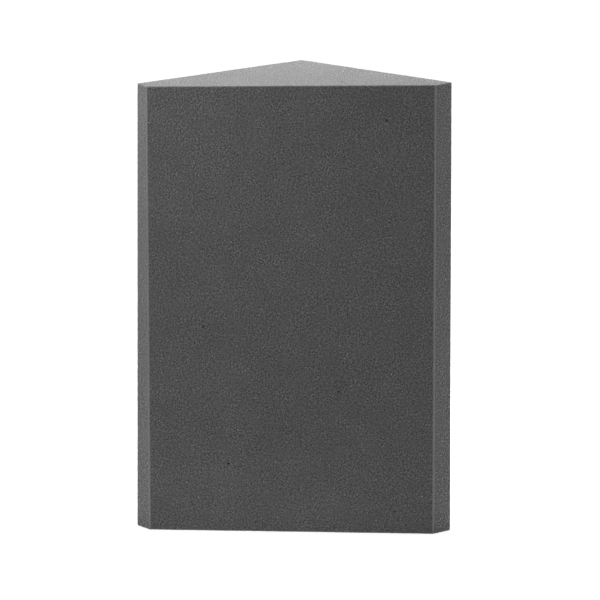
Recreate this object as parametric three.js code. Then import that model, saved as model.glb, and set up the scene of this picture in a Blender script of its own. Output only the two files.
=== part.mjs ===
// Corner bass trap: one block of open-cell acoustic foam that fills the upright corner between two walls.
// Two strips of double-sided mounting tape run up each wall face, and every strip still has its release liner.
//
// Millimetres. +Z is up, -Y is the front that faces the room, and +Y points into the room's corner.
// The origin is on the floor, under the middle of the block's bounding box.
import * as THREE from 'three';

// Foam block, cut from one bun. The two wall faces meet at a right angle on the corner line.
const wallLeg = 300; // a wall face, from the corner line to its outer edge
const blockHeight = 600;
const returnWidth = 30; // the narrow faces that run forward from the outer edges, square to the walls
const arrisRadius = 1.6; // the upright cut edges: foam cells can't hold a sharper corner
const endEase = 1.2; // the same softness round the top and bottom faces
const arrisSteps = 6;
const endEaseSteps = 3;

// Mounting tape: closed-cell foam carrier with adhesive on both faces, on the wall faces only
const tapeWidth = 50;
const tapeThickness = 1.2;
const tapeEndInset = 30; // bare foam above and below each strip
const outerTapeInset = 34; // bare foam between the outer strip and the block's outer edge
const innerTapeInset = 42; // bare foam between the inner strip and the corner line

// Release liner: coated paper that covers the adhesive until the block is put up
const linerThickness = 0.2;
const linerOverhang = 1.5; // past the tape along both sides and its foot, for a fingernail
const linerTab = 16; // bare paper past the tape's top end, to pull by
const linerTabRadius = 8;
const linerTabSteps = 6;

// What lies on a piece stands this far off it
const restGap = 0.3;

const QUARTER_TURN = Math.PI / 2;
const WALL_TURN = QUARTER_TURN / 2; // each wall stands this far off the front face
const WALL_SLOPE = Math.sin(WALL_TURN);

// Plan of the block. Rounding takes a little off each right-angled tip, so the box is that much shallower.
const tipLoss = arrisRadius * (1 / WALL_SLOPE - 1);
const halfSpan = wallLeg * WALL_SLOPE;
const returnDepth = returnWidth * WALL_SLOPE;
const blockDepth = halfSpan + returnDepth - tipLoss;
const frontY = -blockDepth / 2;
const outerEdgeY = frontY + returnDepth;
const cornerLineY = outerEdgeY + halfSpan;

const foam = new THREE.MeshStandardMaterial({ color: 0x58585a, roughness: 0.97, metalness: 0 });
const tapeFoam = new THREE.MeshStandardMaterial({ color: 0xe9e8e2, roughness: 0.8, metalness: 0 });
const linerPaper = new THREE.MeshStandardMaterial({ color: 0xd9c9a3, roughness: 0.45, metalness: 0 });

// A closed outline through the corners, counter-clockwise, with a true arc of the given radius at each one.
function roundedOutline(corners, radius, steps) {
  const points = [];
  corners.forEach((corner, i) => {
    const before = corners[(i + corners.length - 1) % corners.length];
    const after = corners[(i + 1) % corners.length];
    const toBefore = before.clone().sub(corner).normalize();
    const toAfter = after.clone().sub(corner).normalize();
    const halfAngle = Math.acos(toBefore.dot(toAfter)) / 2;
    const bisector = toBefore.clone().add(toAfter).normalize();
    const centre = corner.clone().addScaledVector(bisector, radius / Math.sin(halfAngle));
    const sweep = Math.PI - 2 * halfAngle;
    const start = bisector.angle() + Math.PI - sweep / 2;
    for (let step = 0; step <= steps; step += 1) {
      const angle = start + (sweep * step) / steps;
      points.push(new THREE.Vector2(Math.cos(angle), Math.sin(angle)).multiplyScalar(radius).add(centre));
    }
  });
  return new THREE.Shape(points);
}

// The five-sided block: wide front, two returns square to the walls, and two wall faces.
function foamBlock() {
  const frontHalf = halfSpan - returnDepth;
  const plan = [
    new THREE.Vector2(-frontHalf, frontY),
    new THREE.Vector2(frontHalf, frontY),
    new THREE.Vector2(halfSpan, outerEdgeY),
    new THREE.Vector2(0, cornerLineY),
    new THREE.Vector2(-halfSpan, outerEdgeY),
  ];
  const geometry = new THREE.ExtrudeGeometry(roundedOutline(plan, arrisRadius, arrisSteps), {
    depth: blockHeight - 2 * endEase,
    bevelThickness: endEase,
    bevelSize: endEase,
    bevelOffset: -endEase,
    bevelSegments: endEaseSteps,
  });
  geometry.translate(0, 0, endEase);
  const block = new THREE.Mesh(geometry, foam);
  block.name = 'foam_block';
  return block;
}

// One strip of tape, cut square at both ends.
const tapeLength = blockHeight - 2 * tapeEndInset;

function tapeStrip(name, along) {
  const strip = new THREE.Mesh(new THREE.BoxGeometry(tapeWidth, tapeThickness, tapeLength), tapeFoam);
  strip.name = name;
  strip.position.set(along, restGap + tapeThickness / 2, tapeEndInset + tapeLength / 2);
  return strip;
}

// One liner: a little wider than its tape, with a round-cornered pull tab past the top end.
function releaseLiner(name, along) {
  const half = tapeWidth / 2 + linerOverhang;
  const foot = tapeEndInset - linerOverhang;
  const tabEnd = tapeEndInset + tapeLength + linerTab;
  const radius = Math.min(linerTabRadius, half);
  const outline = new THREE.Shape();
  outline.moveTo(-half, foot);
  outline.lineTo(half, foot);
  outline.absarc(half - radius, tabEnd - radius, radius, 0, QUARTER_TURN);
  outline.absarc(radius - half, tabEnd - radius, radius, QUARTER_TURN, Math.PI);
  const geometry = new THREE.ExtrudeGeometry(outline, {
    depth: linerThickness,
    bevelEnabled: false,
    curveSegments: linerTabSteps,
  });
  geometry.rotateX(QUARTER_TURN);
  const liner = new THREE.Mesh(geometry, linerPaper);
  liner.name = name;
  liner.position.set(along, 2 * restGap + tapeThickness + linerThickness, 0);
  return liner;
}

// What is stuck to one wall face. The group stands on the corner line with its own +Y square out of the wall
// face; side is 1 for the right wall face and -1 for the left one, seen from the front.
function wallFaceFixings(sideName, side) {
  const fixings = new THREE.Group();
  fixings.position.set(0, cornerLineY, 0);
  fixings.rotation.z = -side * WALL_TURN;
  const strips = [
    { place: 'inner', fromCornerLine: innerTapeInset + tapeWidth / 2 },
    { place: 'outer', fromCornerLine: wallLeg - outerTapeInset - tapeWidth / 2 },
  ];
  for (const { place, fromCornerLine } of strips) {
    const along = side * fromCornerLine;
    fixings.add(tapeStrip(`${sideName}_${place}_tape`, along));
    fixings.add(releaseLiner(`${sideName}_${place}_liner`, along));
  }
  return fixings;
}

const bassTrap = new THREE.Group();
bassTrap.add(foamBlock());
bassTrap.add(wallFaceFixings('left', -1));
bassTrap.add(wallFaceFixings('right', 1));

export default bassTrap;
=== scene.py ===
import math
import random

import bmesh
import bpy
import numpy as np
from mathutils import Matrix, Vector, kdtree, noise


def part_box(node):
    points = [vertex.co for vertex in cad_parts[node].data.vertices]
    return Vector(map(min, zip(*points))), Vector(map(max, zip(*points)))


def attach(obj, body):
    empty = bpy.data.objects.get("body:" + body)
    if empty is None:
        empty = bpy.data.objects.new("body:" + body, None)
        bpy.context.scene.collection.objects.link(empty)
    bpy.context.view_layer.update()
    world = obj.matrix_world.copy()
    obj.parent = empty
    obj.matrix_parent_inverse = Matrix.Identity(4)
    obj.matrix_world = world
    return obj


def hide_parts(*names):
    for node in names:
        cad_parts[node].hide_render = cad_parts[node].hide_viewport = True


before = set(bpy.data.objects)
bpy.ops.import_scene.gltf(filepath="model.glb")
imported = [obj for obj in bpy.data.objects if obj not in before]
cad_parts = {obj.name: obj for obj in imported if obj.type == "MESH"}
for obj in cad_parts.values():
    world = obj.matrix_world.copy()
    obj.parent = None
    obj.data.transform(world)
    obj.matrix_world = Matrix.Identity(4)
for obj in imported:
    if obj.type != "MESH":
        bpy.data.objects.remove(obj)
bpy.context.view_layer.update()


# Camera: a long lens in front of the block and a little to its right, which looks down on its top face. The
# aim point puts the block where it stands in the photograph.
camera_azimuth = math.radians(3.26)
camera_elevation = math.radians(12.09)
camera_distance = 5.0
camera_lens_mm = 220.95
aim_right = 0.0043
aim_height = 0.2939

view_back = Vector((
    math.sin(camera_azimuth) * math.cos(camera_elevation),
    -math.cos(camera_azimuth) * math.cos(camera_elevation),
    math.sin(camera_elevation),
))
view_right = Vector((math.cos(camera_azimuth), math.sin(camera_azimuth), 0))
camera = bpy.data.objects.new("camera", bpy.data.cameras.new("camera"))
bpy.context.scene.collection.objects.link(camera)
camera.data.lens = camera_lens_mm
camera.location = view_right * aim_right + Vector((0, 0, aim_height)) + view_back * camera_distance
camera.rotation_mode = "QUATERNION"
camera.rotation_quaternion = (-view_back).to_track_quat("-Z", "Y")
camera.data.clip_end = 3 * camera_distance
bpy.context.scene.camera = camera
bpy.context.scene.view_settings.view_transform = "Standard"


# Foam block: one piece of charcoal open-cell polyurethane foam, sawn from a bun by a straight wire.
# The wire leaves every face flat but open-pored, and the cuts are a few millimetres out of true.
wall_leg = 0.300
return_width = 0.030
edge_radius = 0.0010
edge_segments = 3
mesh_pitch = 0.002
mesh_snap = mesh_pitch / 20

# How far each upright edge leans, in metres to the right, at the foot and at the head of the block
lean_outer_left = (0.0008, 0.0062)
lean_outer_right = (0.0006, -0.0027)
lean_front_left = (-0.0010, -0.0004)
lean_front_right = (-0.0009, -0.0023)
no_lean = (0.0, 0.0)

# How much higher the top was cut than the true size, and its slope up to the right
top_cut_rise = 0.0058
top_cut_tilt = 0.0130

block_low, block_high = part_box("foam_block")
wall_slope = math.sqrt(0.5)
half_span = wall_leg * wall_slope
front_half = half_span - return_width * wall_slope
front_y = block_low.y
outer_edge_y = front_y + return_width * wall_slope
corner_line_y = outer_edge_y + half_span


def block_as_cut():
    """The block with sharp edges: five uprights, four with a small lean, under a slanting top cut."""
    bm = bmesh.new()
    # An outer edge leans along its wall face, so that both wall faces stay flat.
    uprights = [
        (-front_half, front_y, lean_front_left, 0),
        (front_half, front_y, lean_front_right, 0),
        (half_span, outer_edge_y, lean_outer_right, -1),
        (0.0, corner_line_y, no_lean, 0),
        (-half_span, outer_edge_y, lean_outer_left, 1),
    ]
    foot = [
        bm.verts.new((x + lean[0], y + along_wall * lean[0], block_low.z))
        for x, y, lean, along_wall in uprights
    ]
    extruded = bmesh.ops.extrude_face_region(bm, geom=[bm.faces.new(foot)])
    head = [item for item in extruded["geom"] if isinstance(item, bmesh.types.BMVert)]
    for x, y, lean, along_wall in uprights:
        corner = min(head, key=lambda vert: math.hypot(vert.co.x - x, vert.co.y - y))
        corner.co.x = x + lean[1]
        corner.co.y = y + along_wall * lean[1]
        corner.co.z = block_high.z + top_cut_rise + top_cut_tilt * x
    bmesh.ops.recalc_face_normals(bm, faces=bm.faces)
    return bm


def edge_ring(edge):
    """The edges that face one another across a band of four-sided faces, from this one on."""
    ring = {edge}
    waiting = [edge]
    while waiting:
        for loop in waiting.pop().link_loops:
            opposite = loop.link_loop_next.link_loop_next.edge
            if len(loop.face.verts) == 4 and opposite not in ring:
                ring.add(opposite)
                waiting.append(opposite)
    return list(ring)


def divide_sides(bm, upright):
    """Divides the side faces, and the rounded edges round them, into strips as wide as the mesh pitch."""
    while True:
        long_edges = []
        for edge in bm.edges:
            rises = abs(edge.verts[0].co.z - edge.verts[1].co.z) > block_high.z / 2
            if rises == upright and edge.calc_length() > 2 * mesh_pitch:
                long_edges.append(edge)
        if not long_edges:
            return
        ring = edge_ring(long_edges[0])
        cuts = round(max(edge.calc_length() for edge in ring) / mesh_pitch) - 1
        bmesh.ops.subdivide_edges(bm, edges=ring, cuts=cuts)


def divide_end(bm, end):
    """Divides a flat end into squares of the mesh pitch, by planes across and along it."""
    outline = [vert.co.copy() for vert in end.verts]
    pieces = [end]
    for axis in (Vector((1, 0, 0)), Vector((0, 1, 0))):
        beyond, pieces = pieces, []
        place = min(corner.dot(axis) for corner in outline) + mesh_pitch / 2
        while place < max(corner.dot(axis) for corner in outline) - mesh_pitch / 2:
            edges = {edge for face in beyond for edge in face.edges}
            verts = {vert for face in beyond for vert in face.verts}
            cut = bmesh.ops.bisect_plane(bm, geom=beyond + list(edges) + list(verts), dist=mesh_snap,
                                         plane_co=axis * place, plane_no=axis)
            faces = [item for item in cut["geom"] if isinstance(item, bmesh.types.BMFace)]
            beyond = [face for face in faces if face.calc_center_median().dot(axis) > place]
            pieces += [face for face in faces if face.calc_center_median().dot(axis) <= place]
            place += mesh_pitch
        pieces += beyond


# Pinholes, where a large bubble in the bun was cut open. Those in the front are where the photograph shows
# them: so far to the right of the middle, and so high above the floor.
front_pinholes = [
    (0.1244, 0.5608),
    (-0.1176, 0.2813),
    (0.0623, 0.1949),
    (-0.0850, 0.0938),
    (0.1378, 0.0307),
]
pinhole_radius = 0.0018
pinhole_depth = 0.0022
pinhole_cuts = 3

# The others are strewn over these shares of a wall face's width and height, and of an end's half span and
# whole depth
pinhole_seed = 4
pinholes_per_wall = 5
pinholes_per_end = 2
wall_pinhole_shares = (0.03, 0.97)
end_pinhole_span_shares = (-0.4, 0.4)
end_pinhole_depth_shares = (0.1, 0.6)


def pinhole_places():
    """Where the pinholes are: on the front as photographed, and thinly strewn over the walls and ends."""
    draw = random.Random(pinhole_seed)
    places = [Vector((x, front_y, z)) for x, z in front_pinholes]
    for side in (-1, 1):
        for _ in range(pinholes_per_wall):
            along = draw.uniform(*wall_pinhole_shares)
            places.append(Vector((
                side * half_span * (1 - along),
                outer_edge_y + (corner_line_y - outer_edge_y) * along,
                draw.uniform(*wall_pinhole_shares) * block_high.z,
            )))
    for z, tilt in ((block_low.z, 0), (block_high.z + top_cut_rise, top_cut_tilt)):
        for _ in range(pinholes_per_end):
            x = draw.uniform(*end_pinhole_span_shares) * half_span
            y = draw.uniform(*end_pinhole_depth_shares) * (corner_line_y - front_y) + front_y
            places.append(Vector((x, y, z + tilt * x)))
    return places


def refine_round_pinholes(bm, places):
    """Divides the faces round each pinhole more finely, so that it comes out round."""
    tree = kdtree.KDTree(len(bm.faces))
    bm.faces.ensure_lookup_table()
    for index, face in enumerate(bm.faces):
        tree.insert(face.calc_center_median(), index)
    tree.balance()
    reach = 2 * pinhole_radius + mesh_pitch
    near = {index for place in places for _, index, _ in tree.find_range(place, reach)}
    edges = {edge for index in near for edge in bm.faces[index].edges}
    bmesh.ops.subdivide_edges(bm, edges=list(edges), cuts=pinhole_cuts, use_grid_fill=True)


# Relief of the cut faces. The wire runs upright, so its wander shows as faint upright ripples. It leaves
# the tips of the cell walls in one plane and opens the cells below it, most of all along the edges.
wire_wander = 0.00020
wire_wander_pitch = 0.045
wire_stretch = 0.12
skin_depth = 0.00020
skin_pitch = 0.0045
edge_crumble = 0.00012
edge_crumble_pitch = 0.0035
edge_reach = 0.0024
tips_plane = 0.00005

# Added to a noise, which swings to both sides of 0, so that it goes mostly below the tips
below_tips = 0.5

# How much the wire tears the returns and wall faces, where it is 0 on the front and 1 on the ends
side_tear = 0.35


def distance_to_edges(points, edges):
    """How far each point is from the nearest of the straight edges, each given by its two ends."""
    nearest = np.full(len(points), np.inf)
    for start, end in edges:
        along = np.array(end - start)
        offset = points - np.array(start)
        share = np.clip(offset @ along / (along @ along), 0, 1)
        nearest = np.minimum(nearest, np.linalg.norm(offset - share[:, None] * along, axis=1))
    return nearest.tolist()


def add_relief(bm, sharp_edges, pinholes):
    """Moves the skin in and out, and notes how near an edge, how deep in a pinhole and how torn it is."""
    # Nearness to an edge: the skin crumbles there, and the material paints a highlight along it
    near_edge_crumble_and_highlight = bm.verts.layers.float.new("edge_crumble_and_highlight")
    hollow = bm.verts.layers.float.new("pinhole")
    tear = bm.verts.layers.float.new("tear")
    tree = kdtree.KDTree(len(pinholes))
    for index, place in enumerate(pinholes):
        tree.insert(place, index)
    tree.balance()
    bm.normal_update()
    to_edge = distance_to_edges(np.array([vert.co for vert in bm.verts]), sharp_edges)
    moves = []
    for vert, distance in zip(bm.verts, to_edge):
        x, y, z = vert.co
        vert[near_edge_crumble_and_highlight] = max(0.0, 1 - distance / edge_reach)
        # The last square is 1 on the returns and wall faces, at half a right angle, and 0 on the front.
        vert[tear] = vert.normal.z ** 2 + side_tear * (2 * vert.normal.x * vert.normal.y) ** 2
        on_wire = (x / wire_wander_pitch, y / wire_wander_pitch, z * wire_stretch / wire_wander_pitch)
        push = wire_wander * noise.noise(on_wire)
        push -= skin_depth * (below_tips + noise.noise(vert.co / skin_pitch))
        push -= edge_crumble * vert[near_edge_crumble_and_highlight] * (below_tips + noise.noise(vert.co / edge_crumble_pitch))
        reach = tree.find(vert.co)[2] / pinhole_radius
        if reach < 1:
            vert[hollow] = 1 - reach ** 2
            push -= pinhole_depth * math.sqrt(vert[hollow])
        moves.append(vert.normal * min(push, tips_plane))
    for vert, move in zip(bm.verts, moves):
        vert.co += move
        vert.co.z = max(vert.co.z, block_low.z)


# A tuft's width over its length. The tufts are round on the front. They are drawn out from front to back on
# the ends, and level on the returns and wall faces, most of all on the left return.
end_nap = 0.5
side_nap = 0.75
left_return_nap = 0.5
front_nap = 1.0


def map_cut_faces(bm):
    """Lays the cut faces out flat, in metres: level distance and height on a side, x and y on an end."""
    bm.normal_update()
    flat = bm.loops.layers.uv.new("cut_face")
    along_front = Vector((1, 0, 0))
    along_left_wall = Vector((wall_slope, wall_slope, 0))
    along_right_wall = Vector((wall_slope, -wall_slope, 0))
    level_axes = (along_front, along_left_wall, along_right_wall)
    for face in bm.faces:
        if abs(face.normal.z) > wall_slope:
            for loop in face.loops:
                loop[flat].uv = (loop.vert.co.x, loop.vert.co.y * end_nap)
            continue
        level = min(level_axes, key=lambda axis: abs(face.normal.dot(axis)))
        if level is along_front:
            nap = front_nap
        elif face.normal.x < 0 and face.normal.y < 0:
            nap = left_return_nap
        else:
            nap = side_nap
        for loop in face.loops:
            loop[flat].uv = (loop.vert.co.dot(level) * nap, loop.vert.co.z)


def new_piece(name, bm):
    """Puts the mesh in the scene, under that name and where it was made."""
    mesh = bpy.data.meshes.new(name)
    bm.to_mesh(mesh)
    bm.free()
    piece = bpy.data.objects.new(name, mesh)
    bpy.context.scene.collection.objects.link(piece)
    return piece


def foam_block():
    """The block with its rounded, crumbled edges, its pinholes and the relief of its cut faces."""
    bm = block_as_cut()
    sharp_edges = [(edge.verts[0].co.copy(), edge.verts[1].co.copy()) for edge in bm.edges]
    bmesh.ops.bevel(bm, geom=bm.edges[:], offset=edge_radius, offset_type="OFFSET", affect="EDGES",
                    segments=edge_segments, profile=0.5, material=-1)
    divide_sides(bm, upright=False)
    for end in [face for face in bm.faces if len(face.verts) > 4]:
        divide_end(bm, end)
    divide_sides(bm, upright=True)
    map_cut_faces(bm)
    pinholes = pinhole_places()
    refine_round_pinholes(bm, pinholes)
    add_relief(bm, sharp_edges, pinholes)
    for face in bm.faces:
        face.smooth = True
    return new_piece("corner_foam", bm)


def feed(tree, socket, value):
    """Links the value to the socket if it is a node's output, and sets it there if it is fixed."""
    if isinstance(value, bpy.types.NodeSocket):
        tree.links.new(value, socket)
    else:
        socket.default_value = value


def node(tree, kind, **settings):
    """A node of that kind. A setting is one of its own choices, or the name of an input."""
    made = tree.nodes.new(kind)
    for key, value in settings.items():
        if hasattr(made, key):
            setattr(made, key, value)
        else:
            feed(tree, made.inputs[key.replace("_", " ")], value)
    return made


def reckon(tree, operation, *values):
    """The result of a Math node on the values."""
    made = node(tree, "ShaderNodeMath", operation=operation)
    for socket, value in zip(made.inputs, values):
        feed(tree, socket, value)
    return made.outputs["Value"]


def ranged(tree, value, span, levels):
    """How far through the span the value is, as a number between the two levels."""
    made = node(tree, "ShaderNodeMapRange", Value=value, From_Min=span[0], From_Max=span[1],
                To_Min=levels[0], To_Max=levels[1])
    return made.outputs["Result"]


def blended(tree, share, first, second):
    """The first colour where the share is 0 and the second where it is 1."""
    made = node(tree, "ShaderNodeMix", data_type="RGBA")
    feed(tree, made.inputs[0], share)
    feed(tree, made.inputs[6], first)
    feed(tree, made.inputs[7], second)
    return made.outputs[2]


def shaded(tree, colour, level):
    """The colour, made lighter or darker by the level."""
    made = node(tree, "ShaderNodeVectorMath", operation="SCALE", Vector=colour, Scale=level)
    return made.outputs["Vector"]


def noted(tree, layer):
    """What the mesh notes at each point in that layer."""
    return node(tree, "ShaderNodeAttribute", attribute_name=layer).outputs["Fac"]


def mottle(tree, place, size, detail, **settings):
    """A soft random pattern with patches of that size in metres."""
    made = node(tree, "ShaderNodeTexNoise", **settings, Vector=place, Scale=1 / size, Detail=detail)
    return made.outputs["Fac"]


def cell_edges(tree, place, size, span):
    """A net of cells of that size in metres: 1 along their edges, and 0 past that span of the size."""
    cells = node(tree, "ShaderNodeTexVoronoi", feature="DISTANCE_TO_EDGE", Vector=place, Scale=1 / size)
    return ranged(tree, cells.outputs["Distance"], span, (1.0, 0.0))


def specks(tree, on_face, pitch, reach, channel, rarity):
    """Round specks of many strengths, from 0 to 1, strewn over a face at about that pitch in metres."""
    strewn = node(tree, "ShaderNodeTexVoronoi", voronoi_dimensions="2D", Vector=on_face, Scale=1 / pitch)
    chance = node(tree, "ShaderNodeSeparateColor", Color=strewn.outputs["Color"]).outputs[channel]
    near = ranged(tree, strewn.outputs["Distance"], (0.0, reach / pitch), (1.0, 0.0))
    return reckon(tree, "MULTIPLY", near, reckon(tree, "POWER", chance, rarity))


def bumped(tree, pattern, strength, height):
    """The surface's direction over bumps in that pattern, up to that height in metres."""
    made = node(tree, "ShaderNodeBump", Height=pattern, Strength=strength, Distance=height)
    return made.outputs["Normal"]


def shader(name):
    """A new material, its nodes and its surface shader."""
    material = bpy.data.materials.new(name)
    material.use_nodes = True
    return material, material.node_tree, material.node_tree.nodes["Principled BSDF"]


# The span of a share, and the span in which nearly all of a soft random pattern lies
whole = (0.0, 1.0)
mottle_span = (0.3, 0.7)

foam_hollow_colour = (0.025, 0.025, 0.0255, 1)
foam_tip_colour = (0.185, 0.185, 0.188, 1)
foam_painted_edge_highlight_colour = (0.228, 0.228, 0.231, 1)
foam_roughness = 0.97
foam_specular = 0.15
foam_sheen = 0.5
foam_sheen_roughness = 0.6

# Tufts of torn cells, and how strongly they show in the bun's patches and on its ends. The turn keeps the
# rows of the pattern out of line with the block's edges.
tuft_size = 0.0020
tuft_detail = 0.0
tuft_turn = 0.5
tip_sharpness = 1.4
patch_size = 0.020
patch_detail = 2.0
patch_levels = (0.7, 1.55)
end_tear_level = 1.45

# Single cells, with walls that catch the light, and clouds where the bun is denser
foam_cell = 0.0012
foam_cell_span = (0.02, 0.25)
foam_cell_levels = (0.8, 1.32)
cloud_size = 0.060
cloud_detail = 4.0
cloud_roughness = 0.78
cloud_levels = (0.88, 1.12)

# Stray ends of cell walls, and cells that gape
stray_pitch = 0.013
stray_reach = 0.0014
stray_rarity = 3.0
stray_level = 2.8
gape_pitch = 0.011
gape_reach = 0.0013
gape_rarity = 2.0
gape_level = 0.1

# Painted highlight along the edges, painted shade in the pinholes, and the relief of tufts and cell walls
painted_edge_highlight_span = (0.28, 0.62)
painted_edge_highlight_share = 0.9
pinhole_painted_shade_span = (0.0, 0.35)
pinhole_painted_shade_level = 0.03
cell_wall_height_share = 0.3
foam_bump = 0.0008
foam_bump_strength = 1.0


def foam_material():
    """Sliced open cells: pale tips round dark hollows, in tufts a few cells wide."""
    material, tree, skin = shader("charcoal_foam")
    place = node(tree, "ShaderNodeTexCoord").outputs["Object"]
    on_face = node(tree, "ShaderNodeUVMap", uv_map="cut_face").outputs["UV"]
    on_face = node(tree, "ShaderNodeMapping", Vector=on_face, Rotation=(0, 0, tuft_turn)).outputs["Vector"]
    tufts = mottle(tree, on_face, tuft_size, tuft_detail, noise_dimensions="2D")
    torn = ranged(tree, mottle(tree, place, patch_size, patch_detail), mottle_span, patch_levels)
    torn = reckon(tree, "MULTIPLY", torn, ranged(tree, noted(tree, "tear"), whole, (1.0, end_tear_level)))
    # Tearing widens the swing of the tufts about their middle.
    swing = reckon(tree, "MULTIPLY", reckon(tree, "SUBTRACT", tufts, 0.5), torn)
    tips = reckon(tree, "POWER", ranged(tree, swing, (-0.5, 0.5), whole), tip_sharpness)
    cell_walls = cell_edges(tree, place, foam_cell, foam_cell_span)
    clouds = mottle(tree, place, cloud_size, cloud_detail, Roughness=cloud_roughness)
    strays = specks(tree, on_face, stray_pitch, stray_reach, "Red", stray_rarity)
    gapes = specks(tree, on_face, gape_pitch, gape_reach, "Green", gape_rarity)
    colour = blended(tree, tips, foam_hollow_colour, foam_tip_colour)
    colour = shaded(tree, colour, ranged(tree, cell_walls, whole, foam_cell_levels))
    colour = shaded(tree, colour, ranged(tree, clouds, mottle_span, cloud_levels))
    colour = shaded(tree, colour, ranged(tree, strays, whole, (1.0, stray_level)))
    colour = shaded(tree, colour, ranged(tree, gapes, whole, (1.0, gape_level)))
    # Painted highlight: a paler colour blended in along every edge, standing for the light its rounded,
    # fuzzy edges catch
    painted_edge_highlight = ranged(tree, noted(tree, "edge_crumble_and_highlight"), painted_edge_highlight_span, (0.0, painted_edge_highlight_share))
    colour = blended(tree, painted_edge_highlight, colour, foam_painted_edge_highlight_colour)
    # Painted shade: the colour goes nearly black down in each pinhole
    pinhole_painted_shade = ranged(tree, noted(tree, "pinhole"), pinhole_painted_shade_span, (1.0, pinhole_painted_shade_level))
    colour = shaded(tree, colour, pinhole_painted_shade)
    feed(tree, skin.inputs["Base Color"], colour)
    height = reckon(tree, "ADD", tips, reckon(tree, "MULTIPLY", cell_walls, cell_wall_height_share))
    feed(tree, skin.inputs["Normal"], bumped(tree, height, foam_bump_strength, foam_bump))
    skin.inputs["Roughness"].default_value = foam_roughness
    skin.inputs["Specular IOR Level"].default_value = foam_specular
    skin.inputs["Sheen Weight"].default_value = foam_sheen
    skin.inputs["Sheen Roughness"].default_value = foam_sheen_roughness
    return material


block = foam_block()
block.data.materials.append(foam_material())
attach(block, "root")
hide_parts("foam_block")


# Mounting tape: four strips of white closed-cell polyethylene foam, sticky on both faces. Two run up each
# wall face. They were cut from a roll and laid by hand, so their sides wander and their ends aren't quite
# square.
tape_thickness = 0.0012
tape_mesh_pitch = 0.005
tape_edge_ease = 0.00015
tape_edge_segments = 2
tape_wander = 0.0004
tape_wander_pitch = 0.070
tape_skew = 0.010
tape_dimple = 0.00004
tape_dimple_pitch = 0.006
strip_seed = 11
strip_drift = 100
wall_turn = math.radians(45)
strip_names = [(side_name, place) for side_name in ("left", "right") for place in ("inner", "outer")]


def strip_frame(node_name, side_name):
    """A strip's own axes, +Y square out of its wall face and +Z up, on the middle of its solid."""
    low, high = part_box(node_name)
    turn = wall_turn if side_name == "left" else -wall_turn
    return Matrix.Translation((low + high) / 2) @ Matrix.Rotation(turn, 4, "Z")


def strip_size(node_name, thickness):
    """A strip's width and length, from the box of its solid, which stands at half a right angle."""
    low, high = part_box(node_name)
    return (high.x - low.x) / wall_slope - thickness, high.z - low.z


def standing_sheet(width, length, columns, rows):
    """A flat sheet of that many squares, upright on its middle, facing along Y."""
    bm = bmesh.new()
    bmesh.ops.create_grid(bm, x_segments=columns, y_segments=rows, size=0.5)
    bmesh.ops.scale(bm, vec=(width, length, 1), verts=bm.verts)
    bmesh.ops.rotate(bm, cent=(0, 0, 0), matrix=Matrix.Rotation(math.radians(90), 3, "X"), verts=bm.verts)
    return bm


def tape_strip(node_name, side_name, draw):
    """One strip of tape on its wall face, flat against the foam and faintly dimpled outside."""
    width, length = strip_size(node_name, tape_thickness)
    columns, rows = (math.ceil(size / tape_mesh_pitch) for size in (width, length))
    bm = standing_sheet(width, length, columns, rows)
    skew = draw.uniform(-tape_skew, tape_skew)
    drift = draw.uniform(0, strip_drift)
    for vert in bm.verts:
        if abs(vert.co.z) > length / 2 - tape_mesh_pitch / 2:
            vert.co.z += skew * vert.co.x
        vert.co.x += tape_wander * noise.noise((drift, vert.co.x / width, vert.co.z / tape_wander_pitch))
        vert.co.y -= tape_thickness / 2
    outside = bmesh.ops.extrude_face_region(bm, geom=bm.faces[:])["geom"]
    for vert in [item for item in outside if isinstance(item, bmesh.types.BMVert)]:
        vert.co.y += tape_thickness + tape_dimple * (noise.noise(vert.co / tape_dimple_pitch) - 1)
    bmesh.ops.recalc_face_normals(bm, faces=bm.faces)
    rim = [edge for edge in bm.edges if edge.calc_face_angle() > wall_turn]
    bmesh.ops.bevel(bm, geom=rim, offset=tape_edge_ease, offset_type="OFFSET", affect="EDGES",
                    segments=tape_edge_segments, profile=0.5, material=-1)
    bmesh.ops.transform(bm, matrix=strip_frame(node_name, side_name), verts=bm.verts)
    for face in bm.faces:
        face.smooth = True
    return new_piece(node_name + "_strip", bm)


tape_colour = (0.80, 0.80, 0.76, 1)
tape_cell_colour = (0.66, 0.66, 0.62, 1)
tape_cell = 0.0005
tape_cell_span = (0.0, 0.3)
tape_mottle = 1 / 60
tape_mottle_detail = 4.0
tape_mottle_levels = (0.95, 1.03)
tape_roughness_levels = (0.65, 0.85)
tape_bump = 0.0001
tape_bump_strength = 0.4


def tape_material():
    """White closed-cell foam: a smooth skin with fine closed bubbles showing through."""
    material, tree, skin = shader("white_foam_tape")
    place = node(tree, "ShaderNodeTexCoord").outputs["Object"]
    walls = cell_edges(tree, place, tape_cell, tape_cell_span)
    patches = mottle(tree, place, tape_mottle, tape_mottle_detail)
    colour = blended(tree, walls, tape_cell_colour, tape_colour)
    colour = shaded(tree, colour, ranged(tree, patches, mottle_span, tape_mottle_levels))
    feed(tree, skin.inputs["Base Color"], colour)
    feed(tree, skin.inputs["Normal"], bumped(tree, walls, tape_bump_strength, tape_bump))
    feed(tree, skin.inputs["Roughness"], ranged(tree, patches, mottle_span, tape_roughness_levels))
    return material


strip_draw = random.Random(strip_seed)
white_foam = tape_material()
for side_name, place in strip_names:
    tape_node = f"{side_name}_{place}_tape"
    strip = tape_strip(tape_node, side_name, strip_draw)
    strip.data.materials.append(white_foam)
    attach(strip, "root")
    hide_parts(tape_node)


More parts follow.
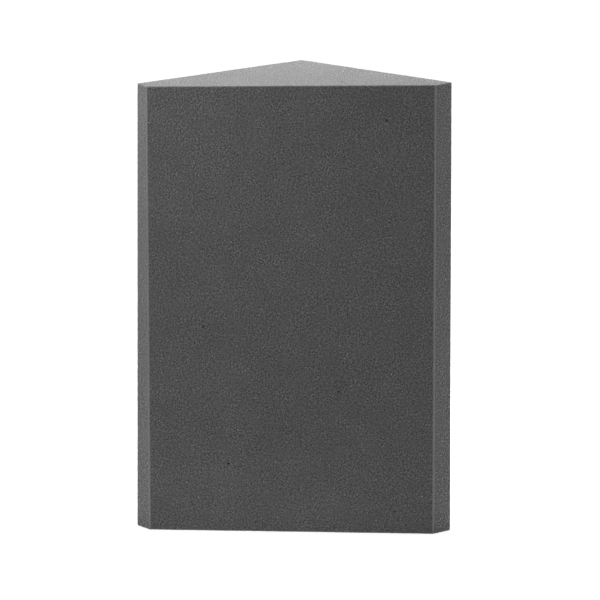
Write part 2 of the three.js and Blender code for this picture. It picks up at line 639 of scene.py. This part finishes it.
# Release liners: tan kraft paper with a silicone coat, one on each strip of tape until the block is put up.
# Each is a little wider than its tape, and its round-cornered top end stands free and curls, so that
# fingers can pull it off.
liner_thickness = 0.0002
liner_mesh_pitch = 0.0022
liner_corner_radius = 0.008
liner_corner_rows = 8
liner_tab = 0.016
liner_curl_radius = (0.020, 0.034)
liner_curl_skew = 0.35

# The paper swells a little all over, and stands off the tape in a few low tunnels across it
liner_swell = 0.00012
liner_swell_pitch = 0.030
liner_tunnels = 3
liner_tunnel_shares = (-0.45, 0.42)
liner_tunnel_height = 0.00045
liner_tunnel_reach = 0.0026
liner_tunnel_slant = 0.35


def release_liner(node_name, side_name, draw):
    """One liner over its strip of tape, with rounded top corners and a curled tab."""
    width, length = strip_size(node_name, liner_thickness)
    columns, rows = (math.ceil(size / liner_mesh_pitch) for size in (width, length))
    bm = standing_sheet(width, length, columns, rows)
    straight_rows = rows - liner_corner_rows
    straight_length = length - liner_corner_radius
    curl_radius = draw.uniform(*liner_curl_radius)
    curl_skew = draw.uniform(-liner_curl_skew, liner_curl_skew)
    drift = Vector((0, draw.uniform(0, strip_drift), 0))
    tunnels = []
    for _ in range(liner_tunnels):
        middle = draw.uniform(*liner_tunnel_shares) * length
        tunnels.append((middle, draw.uniform(-liner_tunnel_slant, liner_tunnel_slant)))
    for vert in bm.verts:
        across = vert.co.x / width
        row = round((vert.co.z / length + 0.5) * rows)
        if row <= straight_rows:
            vert.co.z = straight_length * row / straight_rows - length / 2
        else:
            turn = math.radians(90) * (row - straight_rows) / liner_corner_rows
            vert.co.z = straight_length - length / 2 + liner_corner_radius * math.sin(turn)
            vert.co.x = across * (width - 2 * liner_corner_radius * (1 - math.cos(turn)))
        lift = liner_swell * (1 + noise.noise(vert.co / liner_swell_pitch + drift))
        for middle, slant in tunnels:
            off = (vert.co.z - middle - slant * vert.co.x) / liner_tunnel_reach
            lift += liner_tunnel_height * math.exp(-off * off)
        free = vert.co.z - (length / 2 - liner_tab)
        if free > 0:
            bend = free / curl_radius * (1 + curl_skew * 2 * across)
            arc = free / bend
            lift += arc * (1 - math.cos(bend))
            vert.co.z += arc * math.sin(bend) - free
        vert.co.y += lift
    bmesh.ops.transform(bm, matrix=strip_frame(node_name, side_name), verts=bm.verts)
    for face in bm.faces:
        face.smooth = True
    piece = new_piece(node_name + "_paper", bm)
    paper = piece.modifiers.new("paper", "SOLIDIFY")
    paper.thickness = liner_thickness
    paper.offset = 0
    return piece


liner_colour = (0.68, 0.57, 0.37, 1)
liner_fibre_colour = (0.55, 0.44, 0.26, 1)
liner_fibre_size = 0.0006
liner_fibre_stretch = 0.12
liner_fibre_detail = 2.0
liner_fibre_span = (0.45, 0.75)
liner_cloud = 1 / 70
liner_cloud_detail = 4.0
liner_cloud_levels = (0.94, 1.04)
liner_roughness_levels = (0.38, 0.50)
liner_coat = 0.25
liner_coat_roughness = 0.28
liner_bump = 0.0002
liner_bump_strength = 0.25


def liner_material():
    """Kraft paper under a thin silicone coat: fibres along the roll, faint clouds, and a satin gloss."""
    material, tree, skin = shader("kraft_release_paper")
    place = node(tree, "ShaderNodeTexCoord").outputs["Object"]
    along_roll = node(tree, "ShaderNodeMapping", Vector=place, Scale=(1, 1, liner_fibre_stretch))
    fibres = mottle(tree, along_roll.outputs["Vector"], liner_fibre_size, liner_fibre_detail)
    clouds = mottle(tree, place, liner_cloud, liner_cloud_detail)
    colour = blended(tree, ranged(tree, fibres, liner_fibre_span, whole), liner_colour, liner_fibre_colour)
    colour = shaded(tree, colour, ranged(tree, clouds, mottle_span, liner_cloud_levels))
    feed(tree, skin.inputs["Base Color"], colour)
    height = reckon(tree, "ADD", fibres, clouds)
    feed(tree, skin.inputs["Normal"], bumped(tree, height, liner_bump_strength, liner_bump))
    feed(tree, skin.inputs["Roughness"], ranged(tree, clouds, mottle_span, liner_roughness_levels))
    skin.inputs["Coat Weight"].default_value = liner_coat
    skin.inputs["Coat Roughness"].default_value = liner_coat_roughness
    return material


kraft_paper = liner_material()
for side_name, place in strip_names:
    liner_node = f"{side_name}_{place}_liner"
    liner = release_liner(liner_node, side_name, strip_draw)
    liner.data.materials.append(kraft_paper)
    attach(liner, "root")
    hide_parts(liner_node)


# Floor and background: a plain white floor that takes the block's soft shadow, under a plain white world.
# The floor's lift is seen, straight or in a gloss, and lights nothing else. It brings the far floor up to
# the photograph's white.
floor_reach = 12.0
floor_colour = (0.90, 0.90, 0.90, 1)
floor_lift = 0.68
white = (1, 1, 1, 1)
bm = bmesh.new()
bmesh.ops.create_grid(bm, x_segments=1, y_segments=1, size=floor_reach)
floor = new_piece("floor", bm)


def seen_directly(tree):
    """1 for rays from the camera and those that glossy or clear surfaces pass on, 0 for light itself."""
    path = node(tree, "ShaderNodeLightPath")
    seen = reckon(tree, "MAXIMUM", path.outputs["Is Camera Ray"], path.outputs["Is Glossy Ray"])
    return reckon(tree, "MAXIMUM", seen, path.outputs["Is Transmission Ray"])


def floor_material():
    """A matt white, with the lift."""
    material, tree, skin = shader("white_floor")
    skin.inputs["Base Color"].default_value = floor_colour
    skin.inputs["Roughness"].default_value = 1.0
    skin.inputs["Specular IOR Level"].default_value = 0.0
    skin.inputs["Emission Color"].default_value = white
    feed(tree, skin.inputs["Emission Strength"], reckon(tree, "MULTIPLY", seen_directly(tree), floor_lift))
    return material


floor.data.materials.append(floor_material())

world_level = 0.40
world = bpy.data.worlds.new("white_room")
bpy.context.scene.world = world
world.use_nodes = True
sky = world.node_tree.nodes["Background"]
sky.inputs["Color"].default_value = white
sky_level = ranged(world.node_tree, seen_directly(world.node_tree), whole, (world_level, 1.0))
feed(world.node_tree, sky.inputs["Strength"], sky_level)


def softbox(name, place, aim, size, watts):
    """A rectangular area lamp of that width and height in metres, turned to the point aimed at."""
    light = bpy.data.lights.new(name, "AREA")
    light.shape = "RECTANGLE"
    light.size, light.size_y = size
    light.energy = watts
    lamp = bpy.data.objects.new(name, light)
    lamp.location = place
    lamp.rotation_mode = "QUATERNION"
    lamp.rotation_quaternion = (Vector(aim) - Vector(place)).to_track_quat("-Z", "Y")
    lamp.visible_camera = False
    bpy.context.scene.collection.objects.link(lamp)


# Softboxes over the top, behind and at the right, and three small ones in front: one high on the left, for
# the head of the left return, and two low ones, which lighten the foot
softbox("overhead_box", place=(0.0, 0.55, 1.2), aim=(0, 0.1, 0.6), size=(0.4, 0.4), watts=9.8)
softbox("back_box", place=(0.0, 1.4, 2.1), aim=(0, 0, 0.3), size=(1.6, 1.0), watts=26.2)
softbox("left_box", place=(-0.28, -0.42, 0.70), aim=(-0.12, -0.116, 0.55), size=(0.12, 0.12), watts=0.42)
softbox("right_box", place=(2.0, 0.0, 0.7), aim=(0, 0, 0.3), size=(1.0, 1.4), watts=3.2)
softbox("foot_box", place=(-0.25, -0.50, 0.16), aim=(-0.13, -0.1, 0.16), size=(0.3, 0.2), watts=0.150)
softbox("near_foot_box", place=(-0.03, -0.206, 0.016), aim=(-0.03, -0.116, 0.016), size=(0.38, 0.02),
        watts=0.0344)
